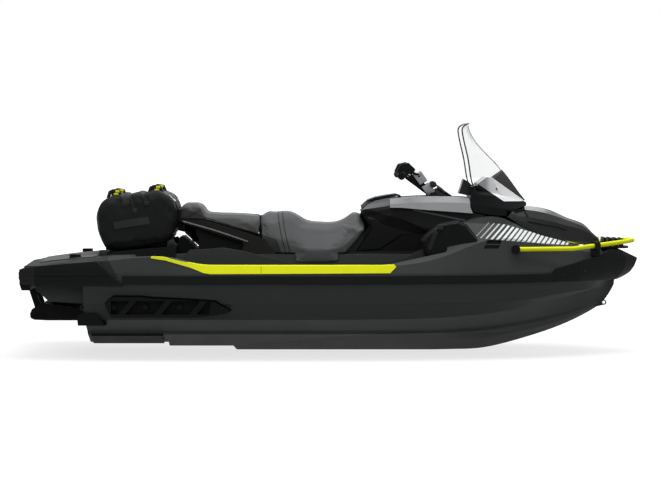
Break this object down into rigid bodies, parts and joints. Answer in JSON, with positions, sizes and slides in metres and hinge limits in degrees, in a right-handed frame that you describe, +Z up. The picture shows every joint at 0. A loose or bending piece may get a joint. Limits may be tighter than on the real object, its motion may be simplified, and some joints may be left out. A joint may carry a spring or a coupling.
{
  "type": "personal watercraft",
  "caption": "Three-seat personal watercraft with jet pump, handlebar steering, hinged front storage lid, boarding ladder and rear cargo bag.",
  "frame": {"origin": "on the unladen waterline amidships, on the centreline", "axes": "+X towards the bow, +Y to port, +Z up"},
  "size_m": [3.735, 1.2546, 1.388],
  "materials": {
    "gelcoat_charcoal": "gloss gelcoat",
    "rubber_black": "matt moulded",
    "plastic_black": "textured",
    "plastic_lime": "satin",
    "plastic_silver": "satin metallic",
    "seat_vinyl": "grained vinyl",
    "bag_fabric": "coated weave",
    "deck_mat": "ribbed foam",
    "cast_alloy": "cast, painted",
    "stainless": "polished",
    "clear_screen": "clear acrylic",
    "display": "gloss panel"
  },
  "bodies": {
    "craft": {"hull": "gelcoat_charcoal", "deck": "gelcoat_charcoal", "rub_rails": "rubber_black", "stern_bumper": "rubber_black", "bow_bumper": "rubber_black", "gunwale_strips": "plastic_lime", "sponsons": "plastic_black", "chine_guards": "plastic_black", "strakes": "plastic_black", "pump_housing": "cast_alloy", "ride_plate": "cast_alloy", "intake_grate": "cast_alloy", "engine_block": "cast_alloy", "console": "gelcoat_charcoal", "console_cover": "plastic_silver", "knee_pads": "plastic_black", "side_pouches": "bag_fabric", "seat_front": "seat_vinyl", "seat_rear": "seat_vinyl", "seat_base": "seat_vinyl", "grab_handle": "plastic_black", "cargo_base": "plastic_black", "cargo_bag": "bag_fabric", "ladder_brackets": "stainless", "bow_eye": "stainless", "stern_eyes": "stainless", "deck_anchors": "plastic_black", "bow_rail": "plastic_lime", "bow_rack": "plastic_black", "rail_mounts": "plastic_black", "deck_mats": "deck_mat"},
    "front_lid": {"hood": "gelcoat_charcoal", "cowl": "plastic_black", "windshield": "clear_screen", "gauge": "display"},
    "glove_cover": {"glove_lid": "plastic_black"},
    "steering": {"steering_riser": "plastic_silver", "handlebar": "stainless", "grips": "rubber_black", "controls": "plastic_black"},
    "jet_nozzle": {"steering_nozzle": "cast_alloy"},
    "reverse_bucket": {"reverse_gate": "cast_alloy"},
    "rotor": {"impeller": "stainless"},
    "ladder": {"ladder_frame": "plastic_black", "ladder_tread": "plastic_black"}
  },
  "joints": [
    {"name": "front_lid_hinge", "type": "hinge", "parent": "craft", "child": "front_lid", "pos_m": [1.628, 0, 0.414], "axis": [0, 1, 0], "range_deg": [0, 55]},
    {"name": "glove_lid_hinge", "type": "hinge", "parent": "craft", "child": "glove_cover", "pos_m": [0.426, 0, 0.694], "axis": [0, 1, 0], "range_deg": [0, 60]},
    {"name": "steering_turn", "type": "hinge", "parent": "craft", "child": "steering", "pos_m": [0.628, 0, 0.698], "axis": [-0.5736, 0, 0.8192], "range_deg": [-24, 24]},
    {"name": "nozzle_turn", "type": "hinge", "parent": "craft", "child": "jet_nozzle", "pos_m": [-1.35, 0, -0.075], "axis": [0, 0, 1], "range_deg": [-21.6, 21.6]},
    {"name": "reverse_gate_hinge", "type": "hinge", "parent": "craft", "child": "reverse_bucket", "pos_m": [-1.292, 0, -0.075], "axis": [0, -1, 0], "range_deg": [0, 84]},
    {"name": "impeller_spin", "type": "hinge", "parent": "craft", "child": "rotor", "pos_m": [-1.08, 0, -0.075], "axis": [1, 0, 0], "continuous": true},
    {"name": "ladder_hinge", "type": "hinge", "parent": "craft", "child": "ladder", "pos_m": [-1.52, 0, -0.003], "axis": [0, -1, 0], "range_deg": [0, 90]}
  ],
  "couplings": [
    {"joint": "nozzle_turn", "follows": "steering_turn", "ratio": -0.9}
  ]
}
